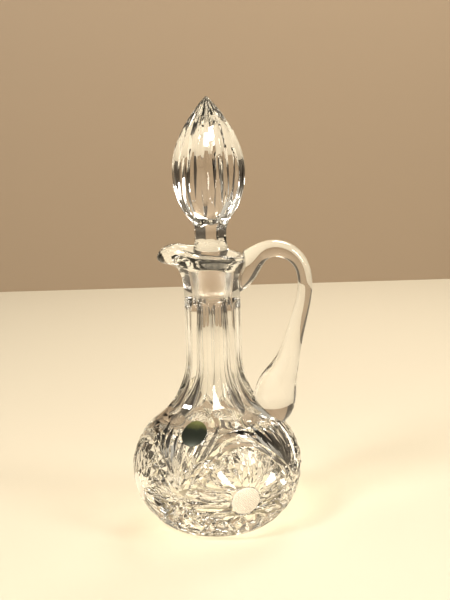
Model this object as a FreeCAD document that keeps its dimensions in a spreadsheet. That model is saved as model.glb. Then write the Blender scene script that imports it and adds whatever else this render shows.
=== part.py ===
# Cut-crystal wine decanter: a cut bottle with a pinched pouring lip, an applied strap handle,
# a ground-in stopper and a round foil seal. Millimetres, +Z up, origin on the bottle's axis in
# the plane it stands on. The handle is toward +X and the pouring lip toward -X.
import FreeCAD, Part

import math
import os

import Sketcher
from FreeCAD import Placement, Rotation, Vector

doc = FreeCAD.newDocument("Decanter")

# ---------------------------------------------------------------- driving dimensions

SIZES = [
    ("base_ring", 36.0, "outer radius of the flat ring it stands on"),
    ("base_inner", 28.0, "inner radius of that ring"),
    ("base_hollow", 2.5, "how far the middle of the foot is ground back"),
    ("bulb_radius", 60.0, "largest radius of the bulb"),
    ("bulb_height", 42.0, "height of the largest radius"),
    ("bulb_arc", 42.0, "radius of the bulb's upper arc"),
    ("neck_radius", 19.5, "neck before its flutes are cut"),
    ("neck_bottom", 122.0, "where the shoulder curve meets the neck"),
    ("neck_top", 165.0, "where the neck starts to flare"),
    ("flare_arc", 55.5, "radius of the flare below the lip"),
    ("lip_bottom", 176.0, "where the round neck becomes the pinched lip"),
    ("chamber_radius", 54.0, "inside radius of the bulb"),
    ("chamber_arc", 37.0, "radius of the inside upper arc"),
    ("chamber_floor", 11.0, "thickness of the glass under the wine"),
    ("bore_radius", 10.4, "throat below the ground seat"),
    ("bore_bottom", 116.0, "where the inside shoulder meets the throat"),
    ("bore_narrows", 136.0, "where the throat starts to narrow toward the ground seat"),
    ("seat_bottom", 163.0, "lower end of the ground seat"),
    ("seat_top", 185.0, "upper end of the ground seat"),
    ("plug_low", 8.8, "stopper plug radius at plug_bottom"),
    ("plug_high", 10.2, "stopper plug radius at plug_top"),
    ("plug_bottom", 165.0, "lower end of the plug"),
    ("plug_top", 187.0, "upper end of the plug"),
    ("plug_gap", 0.12, "clearance between plug and seat"),
    ("stem_radius", 11.4, "stopper stem above the mouth"),
    ("stem_height", 203.0, "height of the stem's waist"),
    ("finial_radius", 25.0, "largest radius of the finial"),
    ("finial_height", 250.0, "height of the finial's largest radius"),
    ("finial_tip", 300.0, "height of the point"),
    ("finial_low_arc", 59.0, "radius of the finial's lower curve"),
    ("finial_high_arc", 82.0, "radius of the finial's upper curve"),
    ("seal_width", 17.5, "width of the oval foil seal"),
    ("seal_length", 20.0, "length of the seal along the slope of the shoulder"),
    ("seal_foil", 0.35, "foil seal thickness"),
    ("handle_root_width", 20.5, "width of the handle where it joins the neck"),
    ("handle_width", 15.0, "width of the handle's strap"),
    ("handle_foot_width", 25.0, "width of the handle's foot"),
    ("core_low", 15.0, "radius of the handle's inner end at neck_top, inside the neck's wall"),
    ("core_high", 23.0, "radius of that end at the lip"),
    ("core_height", 26.0, "height between those two"),
]

sheet = doc.addObject("Spreadsheet::Sheet", "Sizes")
for row, (alias, value, note) in enumerate(SIZES, start=1):
    sheet.set("A%d" % row, str(value))
    sheet.set("B%d" % row, note)
    sheet.setAlias("A%d" % row, alias)
doc.recompute()


def size(alias):
    return float(sheet.get(alias))


# ---------------------------------------------------------------- shared geometry


def ring_point(angle, radius, height):
    """A point by azimuth in degrees from -Y toward +X, radius and height."""
    a = math.radians(angle)
    return Vector(radius * math.sin(a), -radius * math.cos(a), height)


def tangent_arc(x0, z0, r0, x_end, z_end):
    """The arc that leaves the circle (x0, z0, r0) smoothly and ends upright at (x_end, z_end).

    Returns its radius, its centre's x, and the point where it leaves the circle.
    """
    k, rise = x_end - x0, z_end - z0
    radius = (r0 ** 2 - k ** 2 - rise ** 2) / (2 * (k - r0))
    centre = x_end + radius
    reach = math.hypot(centre - x0, rise)
    leave = (x0 + r0 * (centre - x0) / reach, z0 + r0 * rise / reach)
    return radius, centre, leave


BULB_X = size("bulb_radius") - size("bulb_arc")
LOW_ARC = ((size("bulb_radius") - size("base_ring")) ** 2 + size("bulb_height") ** 2) / (
    2 * (size("bulb_radius") - size("base_ring")))
LOW_X = size("bulb_radius") - LOW_ARC
SHOULDER_ARC, SHOULDER_X, SHOULDER_LOW = tangent_arc(
    BULB_X, size("bulb_height"), size("bulb_arc"), size("neck_radius"), size("neck_bottom"))


def blank_radius(z):
    """Radius of the uncut bottle at height z."""
    if z < size("bulb_height"):
        return LOW_X + math.sqrt(LOW_ARC ** 2 - (z - size("bulb_height")) ** 2)
    if z < SHOULDER_LOW[1]:
        return BULB_X + math.sqrt(size("bulb_arc") ** 2 - (z - size("bulb_height")) ** 2)
    if z < size("neck_bottom"):
        return SHOULDER_X - math.sqrt(SHOULDER_ARC ** 2 - (z - size("neck_bottom")) ** 2)
    if z < size("neck_top"):
        return size("neck_radius")
    rise = z - size("neck_top")
    return size("neck_radius") + size("flare_arc") - math.sqrt(size("flare_arc") ** 2 - rise ** 2)


def blank_normal(angle, z):
    """Outward normal of the uncut bottle."""
    slope = (blank_radius(z + 0.2) - blank_radius(z - 0.2)) / 0.4
    return (ring_point(angle, 1, 0) - Vector(0, 0, slope)).normalize()


def on_blank(angle, z, out=0.0):
    return ring_point(angle, blank_radius(z), z) + blank_normal(angle, z) * out


def solid_of(quads):
    """A closed solid from flat polygons."""
    faces = [Part.Face(Part.makePolygon(list(q) + [q[0]])) for q in quads]
    solid = Part.Solid(Part.Shell(faces))
    if solid.Volume < 0:
        solid.reverse()
    return solid


def groove(bottoms, up, top, half_angle):
    """Cutter for a V groove whose bottom runs through the given points.

    Its sides open at half_angle either way of up and stop at the height top above the first
    point.
    """
    along = (bottoms[-1] - bottoms[0]).normalize()
    side = along.cross(up).normalize()
    spread = math.tan(math.radians(half_angle))
    rows = []
    for bottom in bottoms:
        tall = top - (bottom - bottoms[0]).dot(up)
        rows.append((bottom, bottom + (up + side * spread) * tall, bottom + (up - side * spread) * tall))
    quads = [rows[0], rows[-1]]
    for a, b in zip(rows, rows[1:]):
        for i, j in ((0, 1), (1, 2), (2, 0)):
            if (a[i] - a[j]).Length + (b[i] - b[j]).Length > 1e-6:
                quads.append((a[i], b[i], b[j], a[j]))
    return solid_of(quads)


def glass_mitre(a0, z0, a1, z1, depth, half_angle, middle=0.5):
    """A mitre cut on the bottle, a leaf between two places given by azimuth and height."""
    start, end = on_blank(a0, z0, 0.1), on_blank(a1, z1, 0.1)
    place = a0 + (a1 - a0) * middle, z0 + (z1 - z0) * middle
    up = blank_normal(*place)
    along = (end - start).normalize()
    up = (up - along * up.dot(along)).normalize()
    low = on_blank(*place, -depth)
    return groove([start, low, end], up, (low - start).dot(up) + depth + 3.0, half_angle)


def turned(shape, count, step, first=0.0):
    """Copies of a shape turned about the bottle's axis."""
    return [shape.rotated(Vector(0, 0, 0), Vector(0, 0, 1), first + step * i) for i in range(count)]


def ground(name, base, shapes):
    """What is left of base once a set of cuts has been taken out of it, without loose chips."""
    doc.recompute()
    feature = doc.addObject("Part::Feature", name)
    left = base.Shape.cut(shapes)
    feature.Shape = max(left.Solids, key=lambda solid: solid.Volume)
    return feature


def cut(name, base, tool):
    feature = doc.addObject("Part::Cut", name)
    feature.Base, feature.Tool = base, tool
    return feature


# ---------------------------------------------------------------- turned profiles


def origin_plane(body, role):
    return [f for f in body.Origin.OriginFeatures if f.Role == role][0]


def turned_body(name, outline):
    """A PartDesign body turned about Z from a closed outline in the XZ plane.

    outline is a list of (x, z, bulge, x size, z size). A bulge is None for a straight edge to
    the next point, or a point the arc to the next point passes through. The last two name the
    spreadsheet cells that place the point, or are None where it follows from the others.
    """
    body = doc.addObject("PartDesign::Body", name)
    sketch = body.newObject("Sketcher::SketchObject", name + "Outline")
    sketch.AttachmentSupport = [(origin_plane(body, "XZ_Plane"), "")]
    sketch.MapMode = "FlatFace"
    ends = []
    for i, (x, z, bulge, _, _) in enumerate(outline):
        nx, nz = outline[(i + 1) % len(outline)][:2]
        here, there = Vector(x, z, 0), Vector(nx, nz, 0)
        if bulge is None:
            sketch.addGeometry(Part.LineSegment(here, there), False)
            ends.append((i, 1, 2, None))
        else:
            through = Vector(bulge[0], bulge[1], 0)
            forward = (through - here).cross(there - through).z > 0
            arc = Part.Arc(here, through, there) if forward else Part.Arc(there, through, here)
            sketch.addGeometry(arc, False)
            first, last = (1, 2) if forward else (2, 1)
            ends.append((i, first, last, sketch.Geometry[i].Radius))
    rules, bound = [], []
    for i, (edge, first, last, radius) in enumerate(ends):
        follow, next_first = ends[(i + 1) % len(ends)][:2]
        rules.append(Sketcher.Constraint("Coincident", edge, last, follow, next_first))
        if radius is not None:
            rules.append(Sketcher.Constraint("Radius", edge, radius))
        x, z, _, x_size, z_size = outline[i]
        for kind, value, axis, alias in (("DistanceX", x, -2, x_size), ("DistanceY", z, -1, z_size)):
            if abs(value) < 1e-9:
                rules.append(Sketcher.Constraint("PointOnObject", edge, first, axis))
                continue
            if alias:
                bound.append((len(rules), alias))
            rules.append(Sketcher.Constraint(kind, -1, 1, edge, first, value))
    sketch.addConstraint(rules)
    for number, alias in bound:
        sketch.setExpression("Constraints[%d]" % number, "Sizes." + alias)
    doc.recompute()
    turn = body.newObject("PartDesign::Revolution", name + "Turn")
    turn.Profile = sketch
    turn.ReferenceAxis = (sketch, ["V_Axis"])
    turn.Angle = 360
    doc.recompute()
    return body


def arc_middle(x0, z0, radius, a, b):
    """The middle of an arc about (x0, z0) from point a to point b."""
    ta, tb = math.atan2(a[1] - z0, a[0] - x0), math.atan2(b[1] - z0, b[0] - x0)
    if tb - ta > math.pi:
        ta += 2 * math.pi
    if ta - tb > math.pi:
        tb += 2 * math.pi
    return x0 + radius * math.cos((ta + tb) / 2), z0 + radius * math.sin((ta + tb) / 2)


# ---------------------------------------------------------------- bottle: blank and hollow

foot = (size("base_ring"), 0.0)
girth = (size("bulb_radius"), size("bulb_height"))
throat = (size("neck_radius"), size("neck_bottom"))
lip_low = (blank_radius(size("lip_bottom")), size("lip_bottom"))
bottle_blank = turned_body("BottleBlank", [
    (0, size("base_hollow"), None, None, "base_hollow"),
    (size("base_inner") - 7, size("base_hollow"), None, None, "base_hollow"),
    (size("base_inner"), 0, None, "base_inner", None),
    (*foot, arc_middle(LOW_X, size("bulb_height"), LOW_ARC, foot, girth), "base_ring", None),
    (*girth, arc_middle(BULB_X, size("bulb_height"), size("bulb_arc"), girth, SHOULDER_LOW),
     "bulb_radius", "bulb_height"),
    (*SHOULDER_LOW, arc_middle(SHOULDER_X, size("neck_bottom"), SHOULDER_ARC, SHOULDER_LOW, throat),
     None, None),
    (*throat, None, "neck_radius", "neck_bottom"),
    (size("neck_radius"), size("neck_top"),
     (blank_radius(size("neck_top") + 6), size("neck_top") + 6), "neck_radius", "neck_top"),
    (*lip_low, None, None, "lip_bottom"),
    (0, size("lip_bottom"), None, None, "lip_bottom"),
])

chamber_x = size("chamber_radius") - size("chamber_arc")
chamber_z = size("bulb_height") + 1
inner_arc, inner_x, inner_low = tangent_arc(
    chamber_x, chamber_z, size("chamber_arc"), size("bore_radius"), size("bore_bottom"))
plug_slope = (size("plug_high") - size("plug_low")) / (size("plug_top") - size("plug_bottom"))


def seat_radius(z):
    return size("plug_low") + (z - size("plug_bottom")) * plug_slope + size("plug_gap")


widest = (size("chamber_radius"), chamber_z)
inner_throat = (size("bore_radius"), size("bore_bottom"))
chamber = turned_body("Chamber", [
    (0, size("chamber_floor"), (size("chamber_radius") * 0.76, size("chamber_floor") + 10.4),
     None, "chamber_floor"),
    (*widest, arc_middle(chamber_x, chamber_z, size("chamber_arc"), widest, inner_low),
     "chamber_radius", None),
    (*inner_low, arc_middle(inner_x, size("bore_bottom"), inner_arc, inner_low, inner_throat),
     None, None),
    (*inner_throat, None, "bore_radius", "bore_bottom"),
    (size("bore_radius"), size("bore_narrows"), None, "bore_radius", "bore_narrows"),
    (seat_radius(size("seat_bottom")), size("seat_bottom"), None, None, "seat_bottom"),
    (seat_radius(size("seat_top")), size("seat_top"), None, None, "seat_top"),
    (0, size("seat_top"), None, None, "seat_top"),
])

# ---------------------------------------------------------------- bottle: pinched lip


def lip_ring(z, radius, reach, sharp):
    """A closed ring of that radius, pulled out by reach toward -X. sharp narrows the pull."""
    points = []
    for i in range(48):
        angle = 360.0 * i / 48
        toward = max(0.0, math.cos(math.radians(angle + 90)))
        points.append(ring_point(angle, radius + reach * toward ** sharp, z))
    curve = Part.BSplineCurve()
    curve.interpolate(Points=points, PeriodicFlag=True)
    return Part.Wire(curve.toShape())


def lofted(name, rings):
    feature = doc.addObject("Part::Feature", name)
    feature.Shape = Part.makeLoft([lip_ring(*ring) for ring in rings], True, False)
    return feature


# height, radius, pull and sharpness of each ring
lip_outside = lofted("LipOutside", [
    (size("lip_bottom"), lip_low[0], 0.0, 5), (179.0, 21.35, 0.5, 5), (182.0, 22.2, 1.0, 5.5),
    (185.0, 23.1, 3.2, 6), (187.0, 23.7, 8.0, 6), (189.5, 24.2, 11.8, 6.5), (193.0, 24.4, 13.4, 6.5),
    (197.0, 24.3, 13.0, 6.5), (203.0, 24.0, 11.6, 6.5)])
lip_inside = lofted("LipInside", [
    (181.5, seat_radius(181.5) - 0.4, 0.0, 4),
    (184.5, 10.6, 0.2, 4), (186.5, 12.8, 1.2, 4.5), (188.5, 16.2, 2.8, 5), (190.5, 19.0, 6.0, 6),
    (192.5, 20.2, 10.4, 7), (194.5, 20.6, 13.4, 7.5), (198.0, 20.8, 14.2, 7.5), (204.0, 21.0, 14.6, 7.5)])

# side view of the rim, from the handle side to the lip's point, drawn as one smooth curve
RIM = [(32, 190.6), (22, 190.8), (8, 192.9), (-8, 194.9), (-19, 196.8), (-26.5, 197.9),
       (-31, 197.7), (-35.5, 196.0), (-38, 194.2), (-42, 190.0)]
rim_curve = Part.BSplineCurve()
rim_curve.interpolate(Points=[Vector(x, -40, z) for x, z in RIM])
rim_face = Part.Face(Part.Wire([
    rim_curve.toShape(),
    Part.makeLine(Vector(RIM[-1][0], -40, RIM[-1][1]), Vector(RIM[-1][0], -40, 230)),
    Part.makeLine(Vector(RIM[-1][0], -40, 230), Vector(RIM[0][0], -40, 230)),
    Part.makeLine(Vector(RIM[0][0], -40, 230), Vector(RIM[0][0], -40, RIM[0][1]))]))
above_rim = doc.addObject("Part::Feature", "AboveRim")
above_rim.Shape = rim_face.extrude(Vector(0, 80, 0))

# ---------------------------------------------------------------- bottle: flutes of the neck

FLUTES = 8
FLUTE_AZIMUTH = 19.0
# place on the shoulder or neck, grinding wheel radius and depth below the uncut glass
FLUTE_PATH = [(80, 20, -5), (86, 24, 0.9), (93, 28, 2.3), (102, 30, 2.4), (112, 32, 2.3),
              (124, 34, 2.25), (140, 36, 2.25), (151, 36, 2.0), (157, 36, 1.2), (162, 36, 0),
              (169, 36, -4)]


def wheel_ring(z, wheel, depth):
    slope = (blank_radius(z + 0.4) - blank_radius(z - 0.4)) / 0.8
    centre = on_blank(0, z, wheel - depth)
    return Part.Wire(Part.Circle(centre, Vector(0, -slope, 1).normalize(), wheel).toShape())


flute = Part.makeLoft([wheel_ring(*place) for place in FLUTE_PATH], True, False)
neck_flutes = turned(flute, FLUTES, 360.0 / FLUTES, FLUTE_AZIMUTH)

# ---------------------------------------------------------------- bottle: pattern on the bulb

MOTIFS = 4
MOTIF_AZIMUTH = 19.0
BUTTON_Z = 32.0
BUTTON_RADIUS = 10.0


def motif_frame():
    """Centre of a motif at azimuth 0 with its outward, right and up directions."""
    centre = on_blank(0, BUTTON_Z)
    out = blank_normal(0, BUTTON_Z)
    right = Vector(1, 0, 0)
    return centre, out, right, out.cross(right).normalize()


def motif_ring(chord, depth, half_angle):
    """V groove along the circle on the glass at that straight distance from the centre."""
    centre, out, right, up = motif_frame()
    back = chord ** 2 / (2 * 52.0)
    radius = math.sqrt(chord ** 2 - back ** 2)
    level = centre - out * back
    lean = math.asin(radius / 52.0)
    radial = right * math.cos(lean) - out * math.sin(lean)
    normal = right * math.sin(lean) + out * math.cos(lean)
    bottom = level + right * radius - normal * depth
    tall = depth + 6.0
    wide = tall * math.tan(math.radians(half_angle))
    a, b = bottom + normal * tall + radial * wide, bottom + normal * tall - radial * wide
    face = Part.Face(Part.makePolygon([bottom, a, b, bottom]))
    return face.revolve(centre, out, 360)


def polar(distance, bearing):
    """Azimuth and height of a place by its distance and bearing from the button's centre."""
    centre, out, right, up = motif_frame()
    b = math.radians(bearing)
    flat = right * math.sin(b) + up * math.cos(b)
    point = centre + flat * distance - out * (distance ** 2 / 104.0)
    return math.degrees(math.atan2(point.x, -point.y)), point.z


def star(count, near, far, depth, half_angle, first=0.0, middle=0.5, low=4.0):
    """Mitre cuts that radiate from the button."""
    rays = []
    for i in range(count):
        bearing = first + 360.0 * i / count
        (a0, z0), (a1, z1) = polar(near, bearing), polar(far, bearing)
        if min(z0, z1) > low:
            rays.append(glass_mitre(a0, z0, a1, z1, depth, half_angle, middle))
    return rays


def hatching(count, pitch, lean, depth, half_angle):
    """Parallel V grooves across the button, at that bearing."""
    centre, out, right, up = motif_frame()
    b = math.radians(lean)
    along = right * math.sin(b) + up * math.cos(b)
    across = along.cross(out)
    lines = []
    for i in range(count):
        shift = pitch * (i - (count - 1) / 2)
        half = math.sqrt((BUTTON_RADIUS - 0.4) ** 2 - shift ** 2)
        level = centre + across * shift - out * (shift ** 2 / 104 + depth)
        ends = [level + along * half * k - out * (half * k) ** 2 / 104 for k in (-1, 0, 1)]
        lines.append(groove(ends, out, 4.0, half_angle))
    return lines


# corners of the arch over a motif, as azimuth from its middle and height
ARCH = [(-44.5, 41.0), (-33, 53.5), (-20, 66.0), (0, 75.0), (20, 66.0), (33, 53.5), (44.5, 41.0)]


def arch(inset, depth, half_angle):
    """The arch cut as a run of mitres, moved toward the motif's middle by inset."""
    cuts = []
    for (a0, z0), (a1, z1) in zip(ARCH, ARCH[1:]):
        cuts.append(glass_mitre(a0 * (1 - inset), z0 - 60 * inset, a1 * (1 - inset), z1 - 60 * inset,
                                depth, half_angle))
    return cuts


motif = arch(0.0, 1.5, 52) + arch(0.09, 1.0, 50) + [motif_ring(BUTTON_RADIUS, 0.5, 45)]
motif += hatching(5, 3.2, 45, 0.35, 50) + hatching(5, 3.2, -45, 0.35, 50)
motif += star(16, 11.2, 25.0, 1.8, 57, middle=0.42)
motif += star(16, 22.0, 35.0, 1.6, 57, first=11.25)

# fan of mitres that rises between two motifs: azimuth and height of each tip
FAN = [(-19.0, 66.0), (-12.0, 71.5), (-5.5, 75.0), (0.0, 76.5), (5.5, 75.0), (12.0, 71.5), (19.0, 66.0)]
fan = [glass_mitre(tip * 0.3, 43.0 + 0.02 * abs(tip), tip, z, 1.9, 53, middle=0.6) for tip, z in FAN]

bulb_cuts = []
for shape in motif:
    bulb_cuts += turned(shape, MOTIFS, 360.0 / MOTIFS, MOTIF_AZIMUTH)
for shape in fan:
    bulb_cuts += turned(shape, MOTIFS, 360.0 / MOTIFS, MOTIF_AZIMUTH + 45)

# crossing mitres round the foot of the bulb
crossing = [glass_mitre(0, 4.0, 15.0, 20.5, 1.5, 56), glass_mitre(15.0, 4.0, 0, 20.5, 1.5, 56)]
for shape in crossing:
    bulb_cuts += turned(shape, 24, 15.0)

# star ground under the foot
foot_z = size("base_hollow")
base_ray = groove([Vector(0, -2, foot_z - 0.1), Vector(0, -14, foot_z + 1.2), Vector(0, -20.5, foot_z - 0.1)],
                  Vector(0, 0, -1), 2.0, 60)

blank_with_lip = doc.addObject("Part::Fuse", "BlankWithLip")
blank_with_lip.Base, blank_with_lip.Tool = bottle_blank, lip_outside
trimmed = cut("TrimmedBlank", blank_with_lip, above_rim)
hollowed = cut("HollowBlank", trimmed, chamber)
mouth = cut("OpenMouth", hollowed, lip_inside)
fluted = ground("FlutedBottle", mouth, neck_flutes)
starred = ground("StarredBottle", fluted, turned(base_ray, 24, 15.0))
bottle = ground("Bottle", starred, bulb_cuts)
bottle.Label = "bottle"

# ---------------------------------------------------------------- handle

# centre line of the strap in the XZ plane, its width along Y as a share of a width in the
# table, and its thickness in the plane
HANDLE = [
    (12.0, 177.5, "handle_root_width", 0.98, 29.0), (21.5, 181.6, "handle_root_width", 1.0, 25.0),
    (25.0, 184.3, "handle_root_width", 0.95, 20.8), (28.6, 188.0, "handle_root_width", 0.88, 16.6),
    (33.4, 192.4, "handle_width", 1.07, 13.2), (38.6, 195.0, "handle_width", 1.0, 11.9),
    (44.5, 195.9, "handle_width", 1.0, 11.5), (55.0, 192.4, "handle_width", 1.0, 11.0),
    (62.3, 184.4, "handle_width", 1.0, 10.4), (65.0, 173.5, "handle_width", 1.0, 10.0),
    (64.2, 161.5, "handle_width", 1.0, 10.2), (61.4, 151.0, "handle_width", 1.0, 11.2),
    (57.7, 138.0, "handle_width", 1.0, 12.4), (53.8, 122.5, "handle_width", 1.05, 14.0),
    (51.4, 115.0, "handle_width", 1.17, 16.6), (48.2, 107.4, "handle_foot_width", 0.82, 21.2),
    (44.6, 100.0, "handle_foot_width", 0.93, 27.4), (42.0, 91.5, "handle_foot_width", 1.0, 30.6),
    (41.2, 83.0, "handle_foot_width", 1.0, 29.6), (40.8, 75.5, "handle_foot_width", 0.88, 25.0),
    (40.6, 71.4, "handle_foot_width", 0.68, 18.0), (40.5, 69.0, "handle_foot_width", 0.4, 10.0)]
rings = []
for i, (x, z, width, share, thick) in enumerate(HANDLE):
    before, after = HANDLE[max(i - 1, 0)], HANDLE[min(i + 1, len(HANDLE) - 1)]
    along = Vector(after[0] - before[0], 0, after[1] - before[1]).normalize()
    ring = doc.addObject("Part::Ellipse", "HandleRing%02d" % (i + 1))
    broad = size(width) * share > thick
    ring.setExpression("MajorRadius" if broad else "MinorRadius", "Sizes.%s * %g / 2" % (width, share))
    if broad:
        ring.MinorRadius = thick / 2
    else:
        ring.MajorRadius = thick / 2
    across = Vector(0, 1, 0)
    other = along.cross(across)
    first, second = (across, other) if broad else (other * -1, across)
    ring.Placement = Placement(Vector(x, 0, z), Rotation(first, second, along, "ZXY"))
    rings.append(ring)
strap = doc.addObject("Part::Loft", "HandleStrap")
strap.Sections = rings
strap.Solid = True
mouth_core = doc.addObject("Part::Cone", "MouthCore")
mouth_core.setExpression("Radius1", "Sizes.core_low")
mouth_core.setExpression("Radius2", "Sizes.core_high")
mouth_core.setExpression("Height", "Sizes.core_height")
mouth_core.setExpression("Placement.Base.z", "Sizes.neck_top")
above_lip = doc.addObject("Part::Cylinder", "AboveLip")
above_lip.setExpression("Radius", "Sizes.core_high")
above_lip.setExpression("Height", "Sizes.core_height")
above_lip.setExpression("Placement.Base.z", "Sizes.neck_top + Sizes.core_height")
mouth_space = doc.addObject("Part::Fuse", "MouthSpace")
mouth_space.Base, mouth_space.Tool = mouth_core, above_lip
outer_strap = cut("OuterStrap", strap, mouth_space)
handle = ground("Handle", outer_strap, [starred.Shape])
handle.Label = "handle"

# ---------------------------------------------------------------- stopper

waist_gap = size("finial_radius") - size("finial_low_arc") - size("stem_radius")
drop = size("finial_height") - size("stem_height")
NECKING_ARC = (drop ** 2 + waist_gap ** 2 - size("finial_low_arc") ** 2) / (
    2 * (size("finial_low_arc") + waist_gap))
finial_low_x = size("finial_radius") - size("finial_low_arc")
necking_x = size("stem_radius") + NECKING_ARC
part = size("finial_low_arc") / (size("finial_low_arc") + NECKING_ARC)
joined = (finial_low_x + (necking_x - finial_low_x) * part, size("finial_height") - drop * part)
belly = (size("finial_radius"), size("finial_height"))
waist = (size("stem_radius"), size("stem_height"))
point = (0.6, size("finial_tip"))
half = math.hypot(belly[0] - point[0], belly[1] - point[1]) / 2
sag = size("finial_high_arc") - math.sqrt(size("finial_high_arc") ** 2 - half ** 2)
crown = ((belly[0] + point[0]) / 2 + sag * (point[1] - belly[1]) / (2 * half),
         (belly[1] + point[1]) / 2 + sag * (belly[0] - point[0]) / (2 * half))
stopper_blank = turned_body("StopperBlank", [
    (0, size("plug_bottom"), None, None, "plug_bottom"),
    (size("plug_low") - 0.9, size("plug_bottom"), None, None, "plug_bottom"),
    (size("plug_low") + 0.9 * plug_slope, size("plug_bottom") + 0.9, None, None, None),
    (size("plug_high"), size("plug_top"), (10.9, 191.6), "plug_high", "plug_top"),
    (12.3, 194.6, (12.5, 195.8), None, None),
    (12.1, 197.0, (11.4, 199.9), None, None),
    (*waist, arc_middle(necking_x, size("stem_height"), NECKING_ARC, waist, joined),
     "stem_radius", "stem_height"),
    (*joined, arc_middle(finial_low_x, size("finial_height"), size("finial_low_arc"), joined, belly),
     None, None),
    (*belly, crown, "finial_radius", "finial_height"),
    (*point, None, None, "finial_tip"),
    (0, size("finial_tip"), None, None, "finial_tip"),
])

STOPPER_CUTS = 12


def finial_point(z, out=0.0):
    """A place on the finial's outline at azimuth 0, moved out along its normal."""
    if z > belly[1]:
        radius = size("finial_high_arc")
        cx = (belly[0] + point[0]) / 2 - (radius - sag) * (point[1] - belly[1]) / (2 * half)
        cz = (belly[1] + point[1]) / 2 - (radius - sag) * (belly[0] - point[0]) / (2 * half)
        x = cx + math.sqrt(radius ** 2 - (z - cz) ** 2)
        normal = ((x - cx) / radius, (z - cz) / radius)
    else:
        radius = size("finial_low_arc")
        x = finial_low_x + math.sqrt(radius ** 2 - (z - belly[1]) ** 2)
        normal = ((x - finial_low_x) / radius, (z - belly[1]) / radius)
    return Vector(0, -x - out * normal[0], z + out * normal[1])


def petal(stations, half_angle, lean):
    """A long mitre down the finial through (height, depth) stations."""
    up = Vector(0, -math.cos(math.radians(lean)), math.sin(math.radians(lean)))
    bottoms = [finial_point(z, -depth) for z, depth in stations]
    top = max((b - bottoms[0]).dot(up) for b in bottoms) + 4.0
    return groove(bottoms, up, top, half_angle)


long_petal = petal([(297.5, -0.1), (284, 0.9), (270, 1.5), (256, 1.6), (244, 1.1), (231, -0.1)], 66, 20)
short_petal = petal([(262, -0.1), (250, 0.9), (240, 1.4), (230, 1.0), (219.5, -0.1)], 66, -8)
# flat panel on the stem: its depth follows from the reach of its face from the axis
panel_face = size("stem_radius") * math.cos(math.pi / 8)
panel = Part.makePolygon([Vector(-8, -reach, z) for reach, z in (
    (panel_face + 1.0, 199.5), (panel_face, 202.5), (panel_face, 210.5), (panel_face + 4.2, 217.5),
    (panel_face + 9.0, 217.5), (panel_face + 9.0, 199.5), (panel_face + 1.0, 199.5))])
panel = Part.Face(panel).extrude(Vector(16, 0, 0))
stopper = ground("Stopper", stopper_blank,
                 turned(long_petal, STOPPER_CUTS, 360.0 / STOPPER_CUTS, 4.0)
                 + turned(short_petal, STOPPER_CUTS, 360.0 / STOPPER_CUTS, 19.0)
                 + turned(panel, 8, 45.0, 8.0))
stopper.Label = "stopper"

# ---------------------------------------------------------------- foil seal

SEAL_AZIMUTH = -20.0
SEAL_Z = SHOULDER_LOW[1]
foil = size("seal_foil")


def outline_offset(out):
    """The two arcs of the bottle's side around the seal, moved out by that much."""
    spread = 0.3
    lean = math.atan2(SHOULDER_LOW[1] - size("bulb_height"), SHOULDER_LOW[0] - BULB_X)
    low, high = size("bulb_arc") + out, SHOULDER_ARC - out

    def low_at(a):
        return Vector(BULB_X + low * math.cos(a), 0, size("bulb_height") + low * math.sin(a))

    def high_at(a):
        return Vector(SHOULDER_X - high * math.cos(a), 0, size("neck_bottom") - high * math.sin(a))

    first = Part.Arc(low_at(lean - spread), low_at(lean - spread / 2), low_at(lean))
    second = Part.Arc(high_at(lean), high_at(lean - spread / 2), high_at(lean - spread))
    return [first.toShape(), second.toShape()]


inner_edges, outer_edges = outline_offset(0.0), outline_offset(foil)
band = Part.Face(Part.Wire(Part.__sortEdges__(inner_edges + outer_edges + [
    Part.makeLine(inner_edges[0].Vertexes[0].Point, outer_edges[0].Vertexes[0].Point),
    Part.makeLine(inner_edges[1].Vertexes[-1].Point, outer_edges[1].Vertexes[-1].Point)])))
foil_shell = doc.addObject("Part::Feature", "FoilShell")
foil_shell.Shape = band.revolve(Vector(0, 0, 0), Vector(0, 0, 1), 360)
seal_oval = doc.addObject("Part::Ellipse", "SealOval")
seal_oval.setExpression("MajorRadius", "Sizes.seal_length / 2")
seal_oval.setExpression("MinorRadius", "Sizes.seal_width / 2")
seal_normal = blank_normal(SEAL_AZIMUTH, SEAL_Z)
seal_across = seal_normal.cross(Vector(0, 0, 1)).normalize()
seal_turn = Rotation(seal_across.cross(seal_normal), seal_across, seal_normal, "ZXY")
seal_oval.Placement = Placement(on_blank(SEAL_AZIMUTH, SEAL_Z, -7.0), seal_turn)
seal_punch = doc.addObject("Part::Extrusion", "SealPunch")
seal_punch.Base = seal_oval
seal_punch.DirMode = "Custom"
seal_punch.Dir = seal_normal
seal_punch.LengthFwd = 14
seal_punch.Solid = True
foil_seal = doc.addObject("Part::Common", "FoilSeal")
foil_seal.Base, foil_seal.Tool = foil_shell, seal_punch
foil_seal.Label = "foil_seal"

# ---------------------------------------------------------------- checks and export

PIECES = [bottle, handle, stopper, foil_seal]
doc.recompute()
for item in doc.Objects:
    if {"Invalid", "Error"} & set(item.State):
        raise RuntimeError("%s failed: %s" % (item.Name, item.State))
for piece in PIECES:
    shape = piece.Shape
    if shape.isNull() or not shape.isValid() or len(shape.Solids) != 1:
        raise RuntimeError("%s is not one sound solid" % piece.Label)
os.makedirs("parts", exist_ok=True)
for piece in PIECES:
    piece.Shape.exportStep("parts/%s.step" % piece.Label)
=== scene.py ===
# Cut-crystal wine decanter. Lengths in the geometry below are millimetres until a mesh is made.
# Azimuth runs from -Y (0 degrees) toward +X (90 degrees), about the bottle's axis.
import math

import bmesh
import bpy
import numpy as np
from mathutils import Matrix, Vector


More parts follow.
